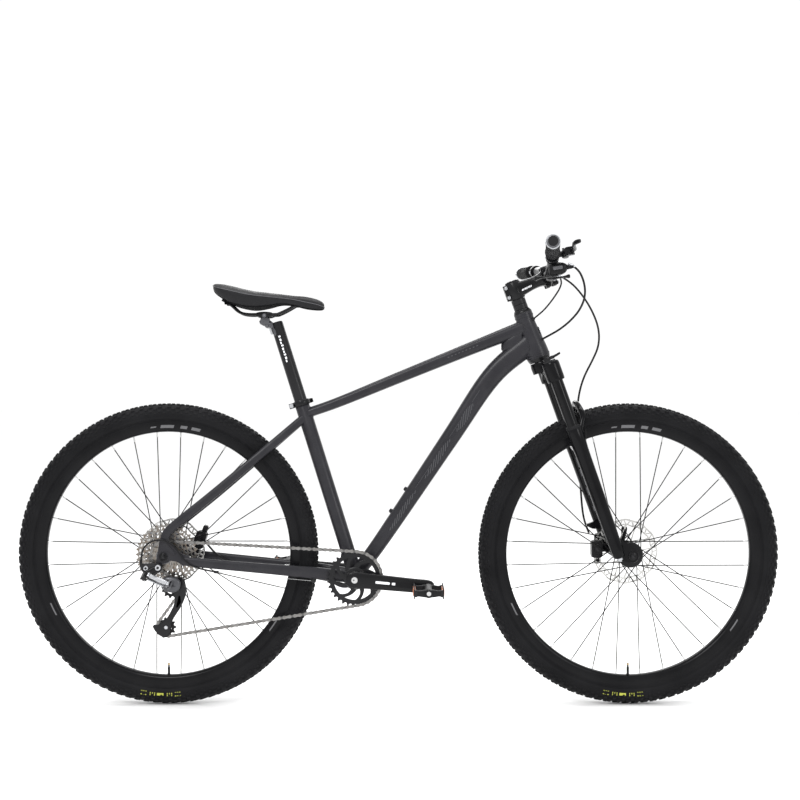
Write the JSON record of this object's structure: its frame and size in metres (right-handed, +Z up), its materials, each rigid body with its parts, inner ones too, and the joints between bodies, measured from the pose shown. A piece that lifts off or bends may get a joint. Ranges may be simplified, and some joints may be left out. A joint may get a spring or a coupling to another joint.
{
  "type": "mountain bike",
  "caption": "Hardtail mountain bike with a suspension fork, disc brakes, a single chainring, a rear derailleur and a padded saddle.",
  "frame": {"origin": "on the ground, midway between the axles, in the middle plane", "axes": "+X forward, +Y to the rider's left, +Z up; the drivetrain is on the -Y side"},
  "size_m": [1.845, 0.7242, 1.095],
  "materials": {
    "frame_paint": "satin near-black paint",
    "black_aluminium": "black anodised",
    "fork_paint": "gloss black paint",
    "dark_grey_aluminium": "dark grey anodised",
    "silver_aluminium": "satin silver",
    "bright_steel": "plated",
    "disc_steel": "ground",
    "spoke_steel": "drawn wire",
    "chain_steel": "oiled grey",
    "cassette_steel": "nickel plated, slightly brown",
    "tyre_rubber": "matt black",
    "grip_rubber": "matt black",
    "saddle_cover": "black synthetic leather",
    "black_plastic": "matt black",
    "hose_cover": "satin black"
  },
  "bodies": {
    "frame": {"seat_tube": "frame_paint", "top_tube": "frame_paint", "down_tube": "frame_paint", "head_tube": "frame_paint", "bottom_bracket_shell": "frame_paint", "chainstays": "frame_paint", "seatstays": "frame_paint", "dropouts": "frame_paint", "seat_collar": "black_aluminium", "bearing_cups": "black_aluminium", "rear_brake_caliper": "black_aluminium", "rear_axle": "bright_steel", "rear_brake_hose": "hose_cover", "shift_cable": "hose_cover", "chain": "chain_steel"},
    "steering": {"fork_crown": "fork_paint", "stanchions": "fork_paint", "stem": "black_aluminium", "handlebar": "black_aluminium", "grips": "grip_rubber", "bar_control_bodies": "black_aluminium", "front_brake_hose": "hose_cover"},
    "fork_lowers": {"fork_lowers": "fork_paint", "front_brake_caliper": "black_aluminium", "front_axle": "bright_steel"},
    "front_wheel": {"front_tyre": "tyre_rubber", "front_rim": "black_aluminium", "front_spokes": "spoke_steel", "front_hub": "black_aluminium", "front_rotor": "disc_steel"},
    "rear_wheel": {"rear_tyre": "tyre_rubber", "rear_rim": "black_aluminium", "rear_spokes": "spoke_steel", "rear_hub": "black_aluminium", "rear_rotor": "disc_steel"},
    "cassette": {"cassette": "cassette_steel"},
    "crankset": {"crank_arms": "black_aluminium", "crank_and_pedal_axles": "bright_steel", "chainring": "black_aluminium"},
    "pedal_right": {"pedal_right": "black_aluminium"},
    "pedal_left": {"pedal_left": "black_aluminium"},
    "derailleur_knuckle": {"derailleur_knuckle": "black_aluminium"},
    "derailleur_inner_link": {"derailleur_inner_link": "silver_aluminium"},
    "derailleur_outer_link": {"derailleur_outer_link": "silver_aluminium"},
    "derailleur_carrier": {"derailleur_carrier": "dark_grey_aluminium"},
    "derailleur_cage": {"derailleur_cage": "black_aluminium"},
    "guide_pulley": {"guide_pulley": "black_plastic"},
    "tension_pulley": {"tension_pulley": "black_plastic"},
    "seatpost": {"seatpost": "black_aluminium"},
    "saddle_cradle": {"saddle_clamp": "dark_grey_aluminium"},
    "saddle": {"saddle": "saddle_cover", "saddle_rails": "bright_steel"},
    "brake_lever_right": {"brake_lever_right": "black_aluminium"},
    "brake_lever_left": {"brake_lever_left": "black_aluminium"},
    "shift_lever_main": {"shift_lever_main": "black_plastic"},
    "shift_lever_release": {"shift_lever_release": "black_plastic"},
    "fork_lockout_lever": {"fork_lockout_lever": "black_aluminium"},
    "seat_qr_lever": {"seat_qr_lever": "black_aluminium"},
    "front_qr_lever": {"front_qr_lever": "black_aluminium"},
    "rear_qr_lever": {"rear_qr_lever": "black_aluminium"}
  },
  "joints": [
    {"name": "steering", "type": "hinge", "parent": "frame", "child": "steering", "pos_m": [0.34112, 0, 0.83988], "axis": [-0.3364, 0, 0.9417], "range_deg": [-60, 60], "deforming": ["rear_brake_hose", "shift_cable"]},
    {"name": "fork_travel", "type": "slide", "parent": "steering", "child": "fork_lowers", "axis": [-0.3364, 0, 0.9417], "range_m": [0, 0.1], "stiffness_N_per_m": 6000, "springref_m": -0.02, "deforming": ["front_brake_hose"]},
    {"name": "front_wheel_spin", "type": "hinge", "parent": "fork_lowers", "child": "front_wheel", "pos_m": [0.5575, 0, 0.365], "axis": [0, 1, 0], "continuous": true},
    {"name": "rear_wheel_spin", "type": "hinge", "parent": "frame", "child": "rear_wheel", "pos_m": [-0.5575, 0, 0.365], "axis": [0, 1, 0], "continuous": true},
    {"name": "crank_spin", "type": "hinge", "parent": "frame", "child": "crankset", "pos_m": [-0.10382, 0, 0.31], "axis": [0, 1, 0], "continuous": true, "deforming": ["chain"]},
    {"name": "cassette_spin", "type": "hinge", "parent": "frame", "child": "cassette", "pos_m": [-0.5575, 0, 0.365], "axis": [0, 1, 0], "continuous": true},
    {"name": "pedal_right_spin", "type": "hinge", "parent": "crankset", "child": "pedal_right", "pos_m": [0.07034, -0.135, 0.29292], "axis": [0, 1, 0], "continuous": true},
    {"name": "pedal_left_spin", "type": "hinge", "parent": "crankset", "child": "pedal_left", "pos_m": [-0.27799, 0.135, 0.32708], "axis": [0, 1, 0], "continuous": true},
    {"name": "derailleur_hanger_pivot", "type": "hinge", "parent": "frame", "child": "derailleur_knuckle", "pos_m": [-0.5675, -0.08, 0.341], "axis": [0, 1, 0], "range_deg": [0, 25], "stiffness_Nm_per_rad": 1, "springref_deg": -34.38},
    {"name": "derailleur_outer_link_pivot", "type": "hinge", "parent": "derailleur_knuckle", "child": "derailleur_outer_link", "pos_m": [-0.58922, -0.0928, 0.32433], "axis": [0.2195, 0.6899, 0.6899], "range_deg": [-12, 18], "stiffness_Nm_per_rad": 2},
    {"name": "derailleur_inner_link_pivot", "type": "hinge", "parent": "derailleur_knuckle", "child": "derailleur_inner_link", "pos_m": [-0.597, -0.084, 0.318], "axis": [0.2195, 0.6899, 0.6899], "range_deg": [-12, 18]},
    {"name": "derailleur_carrier_pivot", "type": "hinge", "parent": "derailleur_outer_link", "child": "derailleur_carrier", "pos_m": [-0.54522, -0.0858, 0.30333], "axis": [0.2195, 0.6899, 0.6899], "range_deg": [-18, 12]},
    {"name": "derailleur_cage_swing", "type": "hinge", "parent": "derailleur_carrier", "child": "derailleur_cage", "pos_m": [-0.529, -0.062, 0.297], "axis": [0, 1, 0], "range_deg": [-35, 12], "stiffness_Nm_per_rad": 1},
    {"name": "guide_pulley_spin", "type": "hinge", "parent": "derailleur_cage", "child": "guide_pulley", "pos_m": [-0.543, -0.0487, 0.286], "axis": [0, 1, 0], "continuous": true},
    {"name": "tension_pulley_spin", "type": "hinge", "parent": "derailleur_cage", "child": "tension_pulley", "pos_m": [-0.5545, -0.0487, 0.194], "axis": [0, 1, 0], "continuous": true},
    {"name": "seatpost_height", "type": "slide", "parent": "frame", "child": "seatpost", "axis": [-0.299, 0, 0.9542], "range_m": [-0.13, 0.05]},
    {"name": "saddle_tilt", "type": "hinge", "parent": "seatpost", "child": "saddle_cradle", "pos_m": [-0.323, 0, 0.928], "axis": [0, 1, 0], "range_deg": [-12, 12]},
    {"name": "saddle_fore_aft", "type": "slide", "parent": "saddle_cradle", "child": "saddle", "axis": [1, 0, 0], "range_m": [-0.012, 0.012]},
    {"name": "brake_lever_right_pull", "type": "hinge", "parent": "steering", "child": "brake_lever_right", "pos_m": [0.39292, -0.20392, 1.07601], "axis": [0.1381, -0.0847, -0.9868], "range_deg": [0, 15], "stiffness_Nm_per_rad": 0.8, "springref_deg": -20.05},
    {"name": "brake_lever_left_pull", "type": "hinge", "parent": "steering", "child": "brake_lever_left", "pos_m": [0.39292, 0.20392, 1.07601], "axis": [-0.1381, -0.0847, 0.9868], "range_deg": [0, 15], "stiffness_Nm_per_rad": 0.8, "springref_deg": -20.05},
    {"name": "shift_lever_main_push", "type": "hinge", "parent": "steering", "child": "shift_lever_main", "pos_m": [0.35999, -0.15319, 1.02448], "axis": [0.1381, -0.0847, -0.9868], "range_deg": [0, 32], "stiffness_Nm_per_rad": 0.1, "springref_deg": -28.65},
    {"name": "shift_lever_release_push", "type": "hinge", "parent": "steering", "child": "shift_lever_release", "pos_m": [0.36082, -0.1537, 1.01856], "axis": [0.1381, -0.0847, -0.9868], "range_deg": [0, 14], "stiffness_Nm_per_rad": 0.1, "springref_deg": -28.65},
    {"name": "fork_lockout_turn", "type": "hinge", "parent": "steering", "child": "fork_lockout_lever", "pos_m": [0.35767, -0.065, 0.83518], "axis": [-0.3364, 0, 0.9417], "range_deg": [-90, 0]},
    {"name": "seat_qr_open", "type": "hinge", "parent": "frame", "child": "seat_qr_lever", "pos_m": [-0.25911, 0.0205, 0.72191], "axis": [-0.299, 0, 0.9542], "range_deg": [0, 150]},
    {"name": "front_qr_open", "type": "hinge", "parent": "fork_lowers", "child": "front_qr_lever", "pos_m": [0.5575, 0.0749, 0.365], "axis": [-0.9945, 0, 0.1045], "range_deg": [0, 120]},
    {"name": "rear_qr_open", "type": "hinge", "parent": "frame", "child": "rear_qr_lever", "pos_m": [-0.5575, 0.0874, 0.365], "axis": [-0.342, 0, -0.9397], "range_deg": [0, 120]}
  ],
  "couplings": [
    {"joint": "cassette_spin", "follows": "crank_spin", "ratio": 1.8824},
    {"joint": "guide_pulley_spin", "follows": "crank_spin", "ratio": -2.9091},
    {"joint": "tension_pulley_spin", "follows": "crank_spin", "ratio": 2.9091},
    {"joint": "derailleur_inner_link_pivot", "follows": "derailleur_outer_link_pivot", "ratio": 1},
    {"joint": "derailleur_carrier_pivot", "follows": "derailleur_outer_link_pivot", "ratio": -1}
  ]
}
